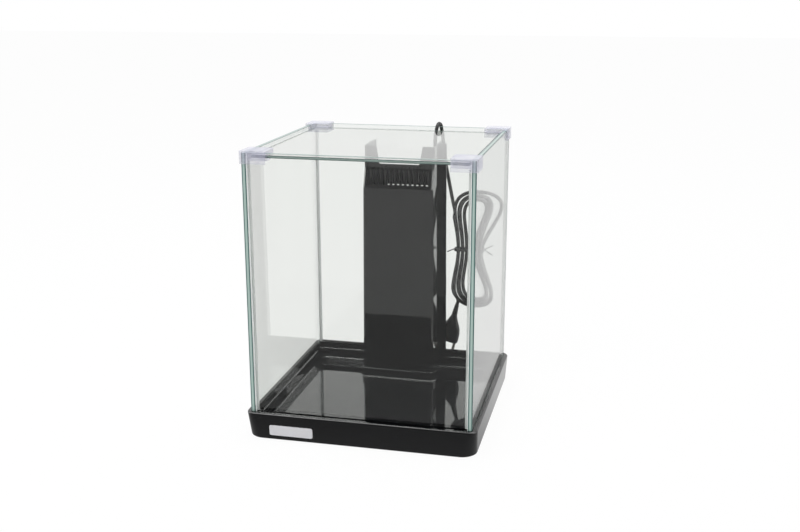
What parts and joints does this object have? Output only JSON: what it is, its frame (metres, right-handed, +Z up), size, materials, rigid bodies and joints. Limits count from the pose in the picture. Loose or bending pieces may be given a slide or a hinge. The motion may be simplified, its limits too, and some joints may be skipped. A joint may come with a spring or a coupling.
{
  "type": "desktop aquarium with submersible heater and filter column",
  "caption": "Square glass desktop aquarium on a black base tray, with a clipped cover glass, a rear filter column that holds a pump and submersible heater, and a hanging tied lead with plug.",
  "frame": {"origin": "middle of the base's footprint, on the surface it stands on", "axes": "+Z up, front faces -Y, filter column at +Y, lead leaves at +X of the column"},
  "size_m": [0.261, 0.2789, 0.3271],
  "materials": {
    "gloss_black": "polished moulded plastic",
    "badge_silver": "satin silver",
    "rubber_black": "matt",
    "glass": "clear with greenish edges",
    "silicone": "clear silicone",
    "clip_clear": "translucent",
    "satin_black": "satin",
    "grey_plastic": "satin",
    "potting": "cast resin",
    "magnet": "matt ferrite",
    "ceramic": "matt",
    "foam_blue": "open-cell foam",
    "foam_white": "fine wadding",
    "bio_ceramic": "porous",
    "bimetal": "bright",
    "dial_red": "satin",
    "cable_black": "satin",
    "nickel": "bright"
  },
  "bodies": {
    "tank": {"badge_plate": "badge_silver", "base_tray": "gloss_black", "column_bond_left": "silicone", "column_bond_right": "silicone", "column_casing": "gloss_black", "cord_tie": "rubber_black", "corner_seam_front_left": "silicone", "corner_seam_front_right": "silicone", "corner_seam_rear_left": "silicone", "corner_seam_rear_right": "silicone", "foot_pad_front_left": "rubber_black", "foot_pad_front_right": "rubber_black", "foot_pad_rear_left": "rubber_black", "foot_pad_rear_right": "rubber_black", "front_pane": "glass", "heater_bracket": "satin_black", "heater_cap": "satin_black", "heater_core": "ceramic", "heater_lead": "cable_black", "heater_suction_cup": "rubber_black", "heater_tube": "glass", "impeller_shaft": "ceramic", "junction_box": "satin_black", "lead_gland": "rubber_black", "lead_hank": "cable_black", "lead_run": "cable_black", "lead_tail": "cable_black", "left_pane": "glass", "outlet_elbow": "satin_black", "plug_body": "cable_black", "plug_pin_left": "nickel", "plug_pin_right": "nickel", "pump_housing": "satin_black", "pump_intake_cover": "satin_black", "pump_lead": "cable_black", "pump_stator": "potting", "pump_suction_cup_left": "rubber_black", "pump_suction_cup_right": "rubber_black", "rear_pane": "glass", "right_pane": "glass", "riser_tube": "grey_plastic", "shaft_bush_front": "rubber_black", "shaft_bush_rear": "rubber_black", "thermostat_strip": "bimetal"},
    "cover": {"cover_glass": "glass", "corner_clip_front_left": "clip_clear", "corner_clip_front_right": "clip_clear", "corner_clip_rear_left": "clip_clear", "corner_clip_rear_right": "clip_clear"},
    "basket": {"media_basket": "satin_black", "fine_sponge": "foam_white", "bio_media": "bio_ceramic", "coarse_sponge": "foam_blue"},
    "rotor": {"rotor_magnet": "magnet", "impeller_wheel": "grey_plastic"},
    "gate": {"flow_gate": "grey_plastic"},
    "dial": {"thermostat_dial": "dial_red"},
    "nozzle": {"outlet_nozzle": "gloss_black"}
  },
  "joints": [
    {"name": "cover_lift", "type": "slide", "parent": "tank", "child": "cover", "axis": [0, 0, 1], "range_m": [0, 0.08]},
    {"name": "basket_lift", "type": "slide", "parent": "tank", "child": "basket", "axis": [0, 0, 1], "range_m": [0, 0.075]},
    {"name": "rotor_spin", "type": "hinge", "parent": "tank", "child": "rotor", "pos_m": [-0.0195, 0.09, 0.048], "axis": [0, 1, 0], "continuous": true},
    {"name": "gate_slide", "type": "slide", "parent": "tank", "child": "gate", "axis": [0, 0, 1], "range_m": [0, 0.004]},
    {"name": "dial_turn", "type": "hinge", "parent": "tank", "child": "dial", "pos_m": [0.0295, 0.0875, 0.2143], "axis": [0, 0, 1], "range_deg": [0, 270]},
    {"name": "nozzle_swivel", "type": "hinge", "parent": "tank", "child": "nozzle", "pos_m": [-0.0433, 0.1025, 0.246], "axis": [1, 0, 0], "range_deg": [-90, 90]}
  ]
}
